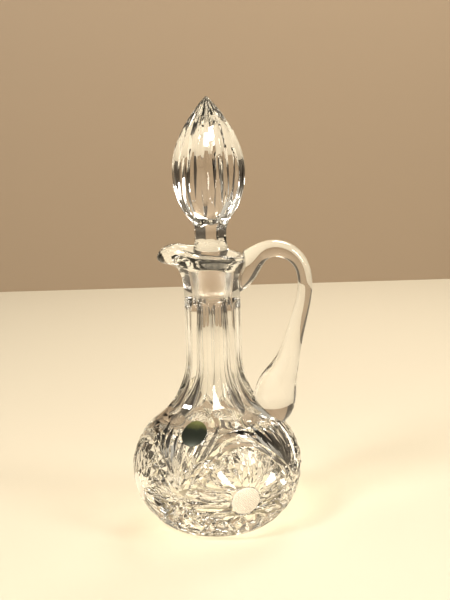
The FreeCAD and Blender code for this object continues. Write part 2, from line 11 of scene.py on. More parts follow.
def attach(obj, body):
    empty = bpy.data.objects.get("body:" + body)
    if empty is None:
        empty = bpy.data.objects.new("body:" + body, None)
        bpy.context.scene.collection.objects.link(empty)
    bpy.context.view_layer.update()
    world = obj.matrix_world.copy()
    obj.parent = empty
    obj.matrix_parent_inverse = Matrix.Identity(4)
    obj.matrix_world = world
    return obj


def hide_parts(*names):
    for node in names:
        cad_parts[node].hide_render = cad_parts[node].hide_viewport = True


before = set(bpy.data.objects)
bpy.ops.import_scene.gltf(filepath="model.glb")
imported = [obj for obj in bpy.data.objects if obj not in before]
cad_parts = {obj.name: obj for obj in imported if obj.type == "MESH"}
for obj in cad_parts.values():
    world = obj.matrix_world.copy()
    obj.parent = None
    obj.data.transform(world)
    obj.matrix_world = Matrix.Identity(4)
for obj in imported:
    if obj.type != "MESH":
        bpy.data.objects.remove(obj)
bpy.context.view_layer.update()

MM = 0.001  # metres in a millimetre

# ------------------------------------------------------------------ helpers


def smooth(xs, ys):
    """A function for the smooth curve through points, without overshoot between them."""
    xs, ys = np.array(xs, float), np.array(ys, float)
    step = np.diff(xs)
    slope = np.diff(ys) / step
    rate = np.zeros(len(xs))
    rate[0], rate[-1] = slope[0], slope[-1]
    for i in range(1, len(xs) - 1):
        if slope[i - 1] * slope[i] > 0:
            a, b = 2 * step[i] + step[i - 1], step[i] + 2 * step[i - 1]
            rate[i] = (a + b) / (a / slope[i - 1] + b / slope[i])

    def value(x):
        x = np.clip(x, xs[0], xs[-1])
        i = np.clip(np.searchsorted(xs, x) - 1, 0, len(step) - 1)
        t = (x - xs[i]) / step[i]
        return ((1 + 2 * t) * (1 - t) ** 2 * ys[i] + t * (1 - t) ** 2 * step[i] * rate[i]
                + t * t * (3 - 2 * t) * ys[i + 1] + t * t * (t - 1) * step[i] * rate[i + 1])

    return value


def ring_point(az, r, z):
    """Place at an azimuth in degrees, a radius and a height."""
    a = math.radians(az)
    return np.array([r * math.sin(a), -r * math.cos(a), z])


def unit(v):
    return v / np.linalg.norm(v)


def piece(name, verts, faces):
    """A mesh object from vertices in millimetres."""
    mesh = bpy.data.meshes.new(name)
    mesh.from_pydata([tuple(v) for v in np.asarray(verts) * MM], [], faces)
    mesh.update()
    obj = bpy.data.objects.new(name, mesh)
    bpy.context.scene.collection.objects.link(obj)
    return obj


def lathe(name, r, z, start):
    """A closed surface of rings: r[row, column] and z[row, column], with a pole at each end."""
    rows, cols = r.shape
    a = math.radians(start) + np.arange(cols) * 2 * math.pi / cols
    rings = np.stack([r * np.sin(a), -r * np.cos(a), z], axis=-1).reshape(-1, 3)
    verts = np.concatenate([[[0, 0, z[0, 0]]], rings, [[0, 0, z[-1, 0]]]])
    faces = []
    for j in range(cols):
        k = (j + 1) % cols
        faces.append((0, 1 + k, 1 + j))
        last = 1 + (rows - 1) * cols
        faces.append((len(verts) - 1, last + j, last + k))
        for i in range(rows - 1):
            low, high = 1 + i * cols, 1 + (i + 1) * cols
            faces.append((low + j, low + k, high + k, high + j))
    return piece(name, verts, faces)


def tube(name, rings):
    """A closed solid through rings of equally many points, capped at both ends."""
    rings = np.asarray(rings)
    count, around = rings.shape[:2]
    faces = [tuple(range(around - 1, -1, -1)), tuple((count - 1) * around + i for i in range(around))]
    for i in range(count - 1):
        for j in range(around):
            k = (j + 1) % around
            faces.append((i * around + j, i * around + k, (i + 1) * around + k, (i + 1) * around + j))
    return piece(name, rings.reshape(-1, 3), faces)


def outward(obj):
    """Turns a closed mesh's faces outward."""
    mesh = obj.data
    volume = 0.0
    co = [v.co for v in mesh.vertices]
    for p in mesh.polygons:
        ids = p.vertices
        for i in range(1, len(ids) - 1):
            volume += co[ids[0]].dot(co[ids[i]].cross(co[ids[i + 1]]))
    if volume < 0:
        mesh.flip_normals()
    return obj


def groove(name, places, ups, depths, half_angle, above=2.0, closed=False):
    """Cutter for a V groove along places on a surface, its bottom at depths below them.

    ups are the surface's normals there, half_angle is the V's, in degrees, and above is how far the
    cutter stands over the surface.
    """
    places, ups = np.asarray(places), np.asarray(ups)
    count = len(places)
    spread = math.tan(math.radians(half_angle))
    rings = []
    for i in range(count):
        before, after = (i - 1) % count, (i + 1) % count
        if not closed:
            before, after = max(i - 1, 0), min(i + 1, count - 1)
        along = unit(places[after] - places[before])
        up = unit(ups[i] - along * np.dot(ups[i], along))
        side = np.cross(along, up)
        bottom = places[i] - up * depths[i]
        tall = above + depths[i]
        top, wide = bottom + up * tall, side * tall * spread
        rings.append([bottom, top + wide, top - wide])
    if not closed:
        return outward(tube(name, rings))
    rings = np.array(rings)
    faces = []
    for i in range(count):
        n = (i + 1) % count
        for j in range(3):
            k = (j + 1) % 3
            faces.append((i * 3 + j, i * 3 + k, n * 3 + k, n * 3 + j))
    return outward(piece(name, rings.reshape(-1, 3), faces))


def carve(obj, cutters):
    """Cuts all the cutters out of obj and clears them away."""
    box = bpy.data.collections.new("cutters")
    bpy.context.scene.collection.children.link(box)
    for c in cutters:
        for holder in list(c.users_collection):
            holder.objects.unlink(c)
        box.objects.link(c)
    cut = obj.modifiers.new("cut", "BOOLEAN")
    cut.operation, cut.solver = "DIFFERENCE", "MANIFOLD"
    cut.operand_type, cut.collection = "COLLECTION", box
    bpy.context.view_layer.update()
    graph = bpy.context.evaluated_depsgraph_get()
    result = bpy.data.meshes.new_from_object(obj.evaluated_get(graph))
    obj.modifiers.clear()
    old, obj.data = obj.data, result
    bpy.data.meshes.remove(old)
    for c in cutters:
        bpy.data.meshes.remove(c.data)
    bpy.data.collections.remove(box)
    return obj


def clean(obj):
    """Merges points that all but touch and drops folded faces, flaps and loose chips."""
    bm = bmesh.new()
    bm.from_mesh(obj.data)
    for reach in (0.001 * MM, 0.003 * MM):
        bmesh.ops.triangulate(bm, faces=bm.faces)
        bmesh.ops.remove_doubles(bm, verts=bm.verts, dist=reach)
        bmesh.ops.dissolve_degenerate(bm, edges=bm.edges, dist=reach / 2)
    bmesh.ops.triangulate(bm, faces=bm.faces)
    stray = True
    while stray:
        bm.verts.index_update()
        seen, stray = {}, []
        for face in bm.faces:
            key = tuple(sorted(v.index for v in face.verts))
            if key in seen:  # two faces folded flat on each other
                stray += [face, seen.pop(key)]
            else:
                seen[key] = face
            shared = [len(edge.link_faces) for edge in face.edges]
            if min(shared) == 1 and max(shared) > 2:  # a flap on a closed surface
                stray.append(face)
        bmesh.ops.delete(bm, geom=list(dict.fromkeys(stray)), context="FACES")
    bmesh.ops.delete(bm, geom=[v for v in bm.verts if not v.link_faces], context="VERTS")
    # only the largest connected group of points is kept
    reached, groups = set(), []
    for vert in bm.verts:
        if vert not in reached:
            reached.add(vert)
            group = [vert]
            for v in group:
                for edge in v.link_edges:
                    other = edge.other_vert(v)
                    if other not in reached:
                        reached.add(other)
                        group.append(other)
            groups.append(group)
    for group in sorted(groups, key=len)[:-1]:
        bmesh.ops.delete(bm, geom=group, context="VERTS")
    bm.to_mesh(obj.data)
    bm.free()


def polish(obj, angle):
    """Smooth shading with crisp edges where facets meet."""
    obj.data.shade_smooth()
    obj.data.set_sharp_from_angle(angle=math.radians(angle))


# ------------------------------------------------------------------ bottle blank

BULB_R, BULB_Z, BULB_ARC = 60.0, 42.0, 42.0  # radius, height of the widest place, arc above it
FOOT_R, FOOT_HOLLOW = 36.0, 2.5
NECK_R, NECK_Z = 19.5, 122.0  # the straight part of the neck and where it starts
FLARE_Z, FLARE_ARC, LIP_Z = 165.0, 55.5, 176.0  # the neck widens from FLARE_Z, the lip from LIP_Z


def leave_arc(x0, z0, r0, x1, z1):
    """Arc that leaves the circle (x0, z0, r0) smoothly and ends upright at (x1, z1)."""
    k, rise = x1 - x0, z1 - z0
    radius = (r0 ** 2 - k ** 2 - rise ** 2) / (2 * (k - r0))
    centre = x1 + radius
    reach = math.hypot(centre - x0, rise)
    return radius, centre, x0 + r0 * (centre - x0) / reach, z0 + r0 * rise / reach


BULB_X = BULB_R - BULB_ARC
LOW_ARC = ((BULB_R - FOOT_R) ** 2 + BULB_Z ** 2) / (2 * (BULB_R - FOOT_R))
LOW_X = BULB_R - LOW_ARC
SHOULDER_ARC, SHOULDER_X, TURN_R, TURN_Z = leave_arc(BULB_X, BULB_Z, BULB_ARC, NECK_R, NECK_Z)


def blank_r(z):
    """Radius of the uncut bottle at a height below the lip."""
    if z < BULB_Z:
        return LOW_X + math.sqrt(LOW_ARC ** 2 - (z - BULB_Z) ** 2)
    if z < TURN_Z:
        return BULB_X + math.sqrt(BULB_ARC ** 2 - (z - BULB_Z) ** 2)
    if z < NECK_Z:
        return SHOULDER_X - math.sqrt(SHOULDER_ARC ** 2 - (z - NECK_Z) ** 2)
    if z < FLARE_Z:
        return NECK_R
    return NECK_R + FLARE_ARC - math.sqrt(FLARE_ARC ** 2 - (z - FLARE_Z) ** 2)


def blank_up(az, z):
    """Normal of the uncut bottle."""
    slope = (blank_r(z + 0.3) - blank_r(z - 0.3)) / 0.6
    return unit(ring_point(az, 1.0, 0.0) - np.array([0, 0, slope]))


def on_blank(az, z, out=0.0):
    """Place on the uncut bottle, or out from it along its normal."""
    return ring_point(az, blank_r(z), z) + blank_up(az, z) * out


def arc_rows(x0, z0, radius, a, b, count):
    """Points of an arc from angle a to b in degrees, leaving out the last."""
    t = np.radians(np.linspace(a, b, count + 1)[:-1])
    return [(x0 + radius * math.cos(i), z0 + radius * math.sin(i)) for i in t]


def line_rows(a, b, count):
    """Points of a straight line from a to b, leaving out the last."""
    (x0, z0), (x1, z1) = a, b
    return [(x0 + (x1 - x0) * i / count, z0 + (z1 - z0) * i / count) for i in range(count)]


# the outside, from the middle of the foot to the start of the lip, as (radius, height)
COLS, START = 224, -90.0  # columns round the bottle and the azimuth of the first, at the lip's point
lean = math.degrees(math.atan2(TURN_Z - BULB_Z, TURN_R - BULB_X))
foot = math.degrees(math.asin(-(BULB_Z - 0.35) / LOW_ARC))
rows = line_rows((2.0, FOOT_HOLLOW), (20.5, FOOT_HOLLOW), 5)
rows += line_rows((20.5, FOOT_HOLLOW), (27.4, 0.25), 3)
rows += [(27.9, 0.03), (28.5, 0.0), (32.0, 0.0), (35.0, 0.0), (35.8, 0.06)]
rows += arc_rows(LOW_X, BULB_Z, LOW_ARC, foot, 0, 34)
rows += arc_rows(BULB_X, BULB_Z, BULB_ARC, 0, lean, 26)
rows += arc_rows(SHOULDER_X, NECK_Z, SHOULDER_ARC, 180 + lean, 180, 30)
rows += line_rows((NECK_R, NECK_Z), (NECK_R, FLARE_Z), 12)
rows += [(blank_r(z), z) for z in np.linspace(FLARE_Z, LIP_Z, 7)[:-1]]

# the pinched lip: toward is 1 at the lip's point and falls to 0 a quarter turn away
col_az = START + np.arange(COLS) * 360.0 / COLS
toward = np.clip(np.cos(np.radians(col_az + 90)), 0, None)
RIM_R, RIM_REACH, OUT_SHARP, IN_SHARP = 24.3, 12.9, 6.5, 7.5
rim_side = smooth([-38, -35.5, -31, -26.5, -19, -8, 8, 22, 32],
                  [192.6, 194.6, 196.2, 196.3, 195.2, 193.4, 191.6, 189.8, 189.4])
rim_z = rim_side((RIM_R + RIM_REACH * toward ** OUT_SHARP) * np.sin(np.radians(col_az)))

# radius of the lip, its extra reach at the point and how narrow the pinch is, by share of height
out_r = smooth([0, 0.2, 0.37, 0.56, 0.75, 1.0], [blank_r(LIP_Z), 21.5, 22.5, 23.6, 24.1, 24.2])
out_reach = smooth([0, 0.2, 0.37, 0.50, 0.56, 0.63, 0.72, 0.84, 0.93, 1.0],
                   [0, 0.2, 0.7, 2.2, 5.2, 9.4, 12.0, 13.3, 13.3, 12.6])
out_sharp = smooth([0, 0.5, 1], [5, 6, OUT_SHARP])
in_r = smooth([0, 0.15, 0.35, 0.55, 0.75, 0.9, 1.0], [9.995, 10.6, 12.8, 15.8, 18.2, 19.4, 20.0])
in_reach = smooth([0, 0.2, 0.4, 0.55, 0.7, 0.85, 1.0], [0, 0.1, 1.0, 3.4, 7.4, 10.4, 11.6])
r_rows = [np.full(COLS, r) for r, z in rows]
z_rows = [np.full(COLS, z) for r, z in rows]
for share in np.linspace(0, 1, 27):
    r_rows.append(out_r(share) + out_reach(share) * toward ** out_sharp(share))
    z_rows.append(LIP_Z + share * (rim_z - LIP_Z))
edge_out, edge_in = r_rows[-1], in_r(1.0) + in_reach(1.0) * toward ** IN_SHARP
for angle in np.linspace(0, 180, 10)[1:-1]:
    c, s = math.cos(math.radians(angle)), math.sin(math.radians(angle))
    r_rows.append((edge_out + edge_in) / 2 + (edge_out - edge_in) / 2 * c)
    z_rows.append(rim_z + (edge_out - edge_in) * 0.46 * s)
SEAT_TOP, SEAT_LOW, SEAT_GAP = 183.0, 163.0, 0.05  # the ground seat and the plug's clearance in it
for share in np.linspace(1, 0, 20):
    r_rows.append(in_r(share) + in_reach(share) * toward ** IN_SHARP)
    z_rows.append(SEAT_TOP + share * (rim_z - SEAT_TOP))


def plug_r(z):
    """Radius of the stopper's tapered plug, 1.4 wider over 22 of height."""
    return 8.8 + (z - 165.0) * 1.4 / 22.0


# the inside, from the seat down to the chamber's floor
inside = line_rows((plug_r(SEAT_TOP) + SEAT_GAP, SEAT_TOP), (plug_r(SEAT_LOW) + SEAT_GAP, SEAT_LOW), 5)[1:]
CHAMBER_ARC, CHAMBER_X, CHAMBER_Z, CHAMBER_DEEP = 37.0, 17.0, 43.0, 32.0
CHAMBER_R = CHAMBER_X + CHAMBER_ARC
BORE_R, BORE_Z = 10.4, 116.0
in_arc, in_x, in_turn_r, in_turn_z = leave_arc(CHAMBER_X, CHAMBER_Z, CHAMBER_ARC, BORE_R, BORE_Z)
in_lean = math.degrees(math.atan2(in_turn_z - CHAMBER_Z, in_turn_r - CHAMBER_X))
throat = smooth([BORE_Z, 136, 150, SEAT_LOW], [BORE_R, 10.2, 9.4, plug_r(SEAT_LOW) + SEAT_GAP])
inside += [(float(throat(z)), z) for z in np.linspace(SEAT_LOW, BORE_Z, 14)[:-1]]
inside += arc_rows(in_x, BORE_Z, in_arc, 180, 180 + in_lean, 20)
inside += arc_rows(CHAMBER_X, CHAMBER_Z, CHAMBER_ARC, in_lean, 0, 16)
inside += [(CHAMBER_R * math.sin(t), CHAMBER_Z - CHAMBER_DEEP * math.cos(t))
           for t in np.radians(np.linspace(90, 3, 24))]
r_rows += [np.full(COLS, r) for r, z in inside]
z_rows += [np.full(COLS, z) for r, z in inside]
bottle = outward(lathe("bottle_crystal", np.array(r_rows), np.array(z_rows), START))

# ------------------------------------------------------------------ bottle cuts

FLUTES, MOTIFS = 8, 4
FLUTE_AZ, MOTIF_AZ, BUTTON_Z, BUTTON_R = 19.0, 19.0, 32.0, 10.0
OVER = 0.04  # how far a pointed cut's ends stand above the glass
# heights along a flute, with the radius of its wheel and its depth at each
flute_z = [74, 80, 83, 86, 90, 96, 102, 112, 124, 140, 153, 158.5, 162, 167]
flute_wheel = smooth(flute_z, [100, 95, 92, 88, 74, 64, 58, 44, 36, 36, 36, 36, 36, 36])
flute_depth = smooth(flute_z, [-4, -1, 0.4, 1.9, 2.7, 2.5, 2.35, 2.3, 2.25, 2.25, 2.3, 1.7, 0, -5])


def flute(az):
    """Cutter for one round-bottomed flute of the neck."""
    rings = []
    for z in np.linspace(74, 169, 110):
        up, wheel = blank_up(az, z), float(flute_wheel(z))
        centre = on_blank(az, z, wheel - float(flute_depth(z)))
        side = ring_point(az + 90, 1, 0)
        half = math.asin(min(0.9, (blank_r(z) * 0.39 + 3.0) / wheel))
        ring = [centre - up * wheel * math.cos(t) + side * wheel * math.sin(t)
                for t in np.linspace(-half, half, 25)]
        far = on_blank(az, z, 9.0)
        wide = wheel * math.sin(half)
        rings.append(ring + [far + side * wide, far - side * wide])
    return outward(tube("flute", rings))


def on_bottle(name, places, depths, half_angle, above=1.6, closed=False):
    """A groove through places on the uncut bottle, given by azimuth and height."""
    return groove(name, [on_blank(a, z) for a, z in places], [blank_up(a, z) for a, z in places],
                  depths, half_angle, above, closed)


def pointed(count, depth, peak, fullness, over):
    """Depths of a cut that is deepest at peak, a share of its length, and pointed at both ends."""
    t = np.linspace(0, 1, count)
    depths = depth * np.sin(math.pi * t ** (math.log(0.5) / math.log(peak))) ** fullness
    depths[0] = depths[-1] = -over
    return t, depths


def leaf(a0, z0, a1, z1, depth, half_angle, peak=0.5, count=11):
    """A mitre cut on the glass between two places, pointed at both ends."""
    t, depths = pointed(count, depth, peak, 0.85, OVER)
    places = list(zip(a0 + (a1 - a0) * t, z0 + (z1 - z0) * t))
    return on_bottle("leaf", places, depths, half_angle)


# plane of a button's face, for a motif at azimuth 0
motif_out = blank_up(0, BUTTON_Z)
motif_right = np.array([1.0, 0, 0])
motif_over = np.cross(motif_out, motif_right)
motif_centre = on_blank(0, BUTTON_Z)
BULB_CURVE = 108.0  # twice the bulb's radius of curvature round a button


def by_button(distance, bearing):
    """Azimuth and height of a place by distance and bearing from the middle of a button."""
    b = math.radians(bearing)
    p = motif_centre + (motif_right * math.sin(b) + motif_over * math.cos(b)) * distance
    p = p - motif_out * distance ** 2 / BULB_CURVE
    return math.degrees(math.atan2(p[0], -p[1])), p[2]


def ray(turn, bearing, near, far, depth, half_angle, peak):
    """A leaf that points away from a button, unless it would run off under the foot."""
    (a0, z0), (a1, z1) = by_button(near, bearing), by_button(far, bearing)
    if min(z0, z1) < FOOT_HOLLOW:
        return []
    return [leaf(turn + a0, z0, turn + a1, z1, depth, half_angle, peak)]


def follow(name, turn, places, depth, half_angle, closed=False):
    """A groove of even depth through places given by azimuth and height, fading at open ends."""
    depths = np.full(len(places), depth)
    if not closed:
        from_start = np.arange(len(places))
        fade = np.clip(np.minimum(from_start, from_start[::-1]) / 4.0, 0, 1)
        depths = depth * fade - OVER * (fade == 0)
    return on_bottle(name, [(turn + a, z) for a, z in places], depths, half_angle, closed=closed)


# azimuth and height of the arch over a motif, from its middle to its foot
arch_side = smooth([0, 0.25, 0.5, 0.75, 1.0], [0, 11, 21, 34, 46.5])
arch_high = smooth([0, 0.25, 0.5, 0.75, 1.0], [75.2, 73.2, 67.0, 55.0, 39.6])


def arch(inset):
    """Places of an arch band, drawn in by a share of its width."""
    places = []
    for t in np.linspace(-1, 1, 49):
        a, z = math.copysign(float(arch_side(abs(t))), t), float(arch_high(abs(t)))
        places.append((a * (1 - inset), z - 56 * inset * (1 - 0.4 * abs(t))))
    return places


HATCH_LINES, HATCH_STEP = 15, 1.28
RAYS, RAY_TILT = 16, 13.0
FAN = ((0, 76.5, 2.3), (9, 75.5, 2.3), (-9, 75.5, 2.3), (19, 78, 2.4), (-19, 78, 2.4),
       (30, 81, 2.4), (-30, 81, 2.4))  # azimuth and height of each tip, and depth
FAN_LOW, STAR_Z, STAR_POINTS, STAR_ROUND = 39.8, 27.5, 8, 56
BASE_CUTS, BASE_LEAN = 24, 16

cutters = [flute(FLUTE_AZ + 360 / FLUTES * k) for k in range(FLUTES)]
for k in range(MOTIFS):
    turn = MOTIF_AZ + 90 * k
    # the button: a ring groove round a cross-hatched face
    circle = [by_button(BUTTON_R + 0.3, 360.0 * i / 64) for i in range(64)]
    cutters.append(follow("button_edge", turn, circle, 0.8, 48, closed=True))
    for i in range(HATCH_LINES):
        shift = (i - HATCH_LINES // 2) * HATCH_STEP
        reach = math.sqrt(max(BUTTON_R ** 2 - shift ** 2, 0.5))
        for tilt in (45, -45):
            line = [by_button(math.hypot(x, shift), tilt + math.degrees(math.atan2(shift, x)))
                    for x in np.linspace(-reach, reach, 7)]
            cutters.append(on_bottle("hatch", [(turn + a, z) for a, z in line], np.full(7, 0.5), 50, 1.2))
    # rays round the button, with short ones between their tips
    for i in range(RAYS):
        b = 360 / RAYS * i - RAY_TILT
        cutters += ray(turn, b, 10.7, 36.0, 2.9, 60, 0.66)
        cutters += ray(turn, b + 180 / RAYS, 24.0, 39.0, 1.8, 58, 0.5)
    cutters.append(follow("arch", turn, arch(0.0), 2.4, 55))
    cutters.append(follow("arch", turn, arch(0.11), 1.9, 54))
    # between this motif and the next: a fan, and a small star below it
    middle = turn + 45
    for a, z, depth in FAN:
        cutters.append(leaf(middle + a * 0.05, FAN_LOW, middle + a, z, depth, 50, 0.6, 17))
    for i in range(STAR_POINTS):
        a = math.radians(360 / STAR_POINTS * i + 22.5)
        x, z = math.sin(a), math.cos(a)
        cutters.append(leaf(middle + math.degrees(1.2 * x / STAR_ROUND), STAR_Z + 1.2 * z,
                            middle + math.degrees(10.5 * x / STAR_ROUND), STAR_Z + 10.0 * z, 1.8, 56))
# leaves that cross round the foot of the bulb
for i in range(BASE_CUTS):
    a = i * 360 / BASE_CUTS
    cutters.append(leaf(a, 3.0, a + BASE_LEAN, 22.0, 2.2, 57))
    cutters.append(leaf(a + BASE_LEAN, 3.0, a, 22.0, 2.2, 57))
# star under the foot
t = np.linspace(0, 1, 9)
depths = 1.5 * np.sin(math.pi * t ** 0.8)
depths[0] = depths[-1] = -0.05
for i in range(BASE_CUTS):
    places = [ring_point(360 / BASE_CUTS * i, 1.5 + 19.5 * share, FOOT_HOLLOW) for share in t]
    cutters.append(groove("base_ray", places, [(0, 0, -1)] * 9, depths, 58, 2.0))
carve(bottle, cutters)

# ------------------------------------------------------------------ stopper

PLUG_LOW, PLUG_TOP, TIP_Z = 165.0, 187.0, 299.95
# radius of the collar, stem and finial by height
finial = smooth([195.0, 195.8, 197.0, 199.5, 203.0, 209.0, 214.0, 217.5, 221.0, 225.0,
                 233.0, 241.0, 250.0, 257.0, 264.5, 272.0, 280.0, 287.7, 295.4, 299.0],
                [12.3, 12.4, 12.0, 11.5, 11.4, 11.5, 12.9, 14.6, 17.0, 19.6,
                 22.7, 24.5, 25.0, 24.5, 22.9, 20.0, 15.9, 10.9, 4.9, 1.5])
rows = line_rows((1.0, PLUG_LOW), (7.7, PLUG_LOW), 3) + [(7.9, PLUG_LOW), (8.84, 165.9)]
rows += [(plug_r(z), z) for z in np.linspace(167, PLUG_TOP, 8)]
rows += [(10.5, 189.5), (11.1, 192.0), (11.9, 193.6), (12.3, 194.5)]
rows += [(float(finial(z)), z) for z in np.concatenate([
    np.linspace(195.2, 203, 9), np.linspace(204, 226, 18)[:-1], np.linspace(226, 299.0, 64)])]
rows += [(0.8, 299.7)]

# the stem has eight flat panels, which fade out into the collar and the finial
STOPPER_COLS, PANEL_AZ, PANEL_HALF = 168, 8, 22.5
STEM_LOW, STEM_TOP = 200, 219
flat = smooth([200.0, 202.5, 211.0, 219.0], [0.0, 1.0, 1.0, 0.0])
stopper_az = START + np.arange(STOPPER_COLS) * 360.0 / STOPPER_COLS
from_panel = (stopper_az - PANEL_AZ + PANEL_HALF) % 45.0 - PANEL_HALF
eight = math.cos(math.radians(PANEL_HALF)) / np.cos(np.radians(from_panel))
r_rows = [r * (1 - (float(flat(z)) if STEM_LOW < z < STEM_TOP else 0.0) * (1 - eight)) for r, z in rows]
z_rows = [[z] * STOPPER_COLS for r, z in rows]
stopper = outward(lathe("stopper_crystal", np.array(r_rows), np.array(z_rows), START))
stopper.data.vertices[-1].co.z = TIP_Z * MM


def finial_up(az, z):
    """Normal of the uncut finial."""
    slope = float(finial(z + 0.5)) - float(finial(z - 0.5))
    return unit(ring_point(az, 1.0, 0.0) - np.array([0, 0, slope]))


def petal(az, low, high, depth, half_angle, peak):
    """A wide upright mitre cut on the finial."""
    t, depths = pointed(25, depth, peak, 0.8, 0.05)
    zs = low + (high - low) * t
    places = [ring_point(az, float(finial(z)), z) for z in zs]
    return groove("petal", places, [finial_up(az, z) for z in zs], depths, half_angle, 2.0)


PETALS = 12
cutters = []
for i in range(PETALS):
    az = 4 + 360 / PETALS * i
    cutters.append(petal(az, 230.0, 298.2, 1.75, 71, 0.45))
    cutters.append(petal(az + 180 / PETALS, 218.5, 262.0, 1.5, 71, 0.42))
carve(stopper, cutters)

# ------------------------------------------------------------------ handle

# centre line in the XZ plane, from the neck to the shoulder: x, z, width along Y, thickness
STRAP = np.array([
    (12.0, 177.5, 20, 29.0), (17.0, 179.2, 20.5, 28.5), (21.5, 181.6, 20.5, 25.0), (25.0, 184.3, 19.5, 20.8),
    (28.6, 188.0, 18, 16.6), (33.4, 192.4, 16, 13.2), (38.6, 195.0, 15, 11.9), (44.5, 195.9, 15, 11.5),
    (50.0, 195.0, 15, 11.2), (55.0, 192.4, 15, 11.0), (59.4, 188.7, 15, 10.7), (62.3, 184.4, 15, 10.4),
    (64.4, 179.0, 15, 10.1), (65.0, 173.5, 15, 10.0), (64.9, 167.5, 15, 10.0), (64.2, 161.5, 15, 10.2),
    (61.6, 151.0, 15, 11.2), (57.7, 138.0, 15, 12.4), (53.9, 123.0, 15.6, 13.9), (51.4, 115.0, 17.5, 16.6),
    (48.2, 107.4, 20.5, 21.2), (44.6, 100.0, 23.2, 27.4), (42.2, 92.0, 25, 30.4), (41.4, 84.0, 25, 29.8),
    (40.9, 76.5, 22.6, 26.0), (40.6, 72.0, 18, 19.5), (40.5, 69.0, 11, 11.0)])
STATIONS, ROUND, SMOOTHINGS, SQUARENESS = 150, 48, 30, 0.9
length = np.concatenate([[0], np.cumsum(np.hypot(np.diff(STRAP[:, 0]), np.diff(STRAP[:, 1])))])


def even(column):
    """A column of the table at even steps along the strap, with its corners smoothed."""
    values = np.interp(np.linspace(0, length[-1], STATIONS), length, STRAP[:, column])
    for _ in range(SMOOTHINGS):
        values[1:-1] = (values[:-2] + 2 * values[1:-1] + values[2:]) / 4
    return values


strap_x, strap_z, strap_wide, strap_thick = (even(i) for i in range(4))
sideways = np.array([0, 1, 0])
rings = []
for i in range(STATIONS):
    a, b = max(i - 1, 0), min(i + 1, STATIONS - 1)
    along = unit(np.array([strap_x[b] - strap_x[a], 0, strap_z[b] - strap_z[a]]))
    through = np.cross(along, sideways)
    centre = np.array([strap_x[i], 0, strap_z[i]])
    ring = []
    for t in np.linspace(0, 2 * math.pi, ROUND, endpoint=False):
        c, s = (math.copysign(abs(v) ** SQUARENESS, v) for v in (math.cos(t), math.sin(t)))
        ring.append(centre + sideways * c * strap_wide[i] / 2 + through * s * strap_thick[i] / 2)
    rings.append(ring)
handle = outward(tube("handle_crystal", rings))

# the handle is fused on to the bottle's outside, drawn in by a hair, and kept out of the mouth
SKIN_IN = 0.04 * MM
skin = bottle.copy()
skin.data = bottle.data.copy()
bpy.context.scene.collection.objects.link(skin)
normals = [v.normal.copy() for v in skin.data.vertices]
for v, n in zip(skin.data.vertices, normals):
    v.co -= n * SKIN_IN
MOUTH = ((15.0, 165.0), (23.0, 191.0), (23.0, 217.0))  # radius and height
mouth = outward(tube("mouth", [[ring_point(a, r, z) for a in np.linspace(0, 360, 72, endpoint=False)]
                               for r, z in MOUTH]))
carve(handle, [mouth, skin])

for part, crease in ((bottle, 24), (stopper, 22), (handle, 40)):
    clean(part)
    polish(part, crease)

# ------------------------------------------------------------------ materials


def new_material(name):
    """A material with its node tree's nodes and links and its Principled node."""
    mat = bpy.data.materials.new(name)
    mat.use_nodes = True
    nodes, links = mat.node_tree.nodes, mat.node_tree.links
    return mat, nodes, links, nodes["Principled BSDF"]


def noise(nodes, links, scale, detail=None, place=None):
    """Noise output, in the object's own coordinates if place is given."""
    cloud = nodes.new("ShaderNodeTexNoise")
    cloud.inputs["Scale"].default_value = scale
    if detail is not None:
        cloud.inputs["Detail"].default_value = detail
    if place is not None:
        links.new(place.outputs["Object"], cloud.inputs["Vector"])
    return cloud.outputs["Fac"]


def ramp(nodes, links, value, low, high, start=0.0, end=1.0):
    """Colour output that goes from low to high while value goes from start to end."""
    tone = nodes.new("ShaderNodeValToRGB")
    first, last = tone.color_ramp.elements
    first.position, last.position = start, end
    first.color, last.color = (*low, 1), (*high, 1)
    links.new(value, tone.inputs["Fac"])
    return tone.outputs["Color"]


LEAD_CRYSTAL_IOR = 1.55
SHADOW_TINT = (0.76, 0.75, 0.71, 1)


def crystal(name, roughness, tint_low, tint_high, grain, relief):
    """Lead crystal with a faint change of tint and the slight waviness of worked glass."""
    mat, nodes, links, glass = new_material(name)
    glass.inputs["Transmission Weight"].default_value = 1.0
    glass.inputs["IOR"].default_value = LEAD_CRYSTAL_IOR
    glass.inputs["Roughness"].default_value = roughness
    place = nodes.new("ShaderNodeTexCoord")
    cloud = noise(nodes, links, 22.0, 2.0, place)
    links.new(ramp(nodes, links, cloud, tint_low, tint_high, 0.3, 0.7), glass.inputs["Base Color"])
    bump = nodes.new("ShaderNodeBump")
    bump.inputs["Strength"].default_value = relief
    bump.inputs["Distance"].default_value = MM
    links.new(noise(nodes, links, grain, 1.0, place), bump.inputs["Height"])
    links.new(bump.outputs["Normal"], glass.inputs["Normal"])
    # the glass lets most of the light through instead of throwing an opaque shadow
    path = nodes.new("ShaderNodeLightPath")
    clear = nodes.new("ShaderNodeBsdfTransparent")
    clear.inputs["Color"].default_value = SHADOW_TINT
    either = nodes.new("ShaderNodeMixShader")
    links.new(path.outputs["Is Shadow Ray"], either.inputs["Fac"])
    links.new(glass.outputs["BSDF"], either.inputs[1])
    links.new(clear.outputs["BSDF"], either.inputs[2])
    links.new(either.outputs["Shader"], nodes["Material Output"].inputs["Surface"])
    return mat


def polished(name):
    """Clear polished glass."""
    return crystal(name, 0.0, (0.985, 0.982, 0.968), (0.996, 0.995, 0.988), 60.0, 0.04)


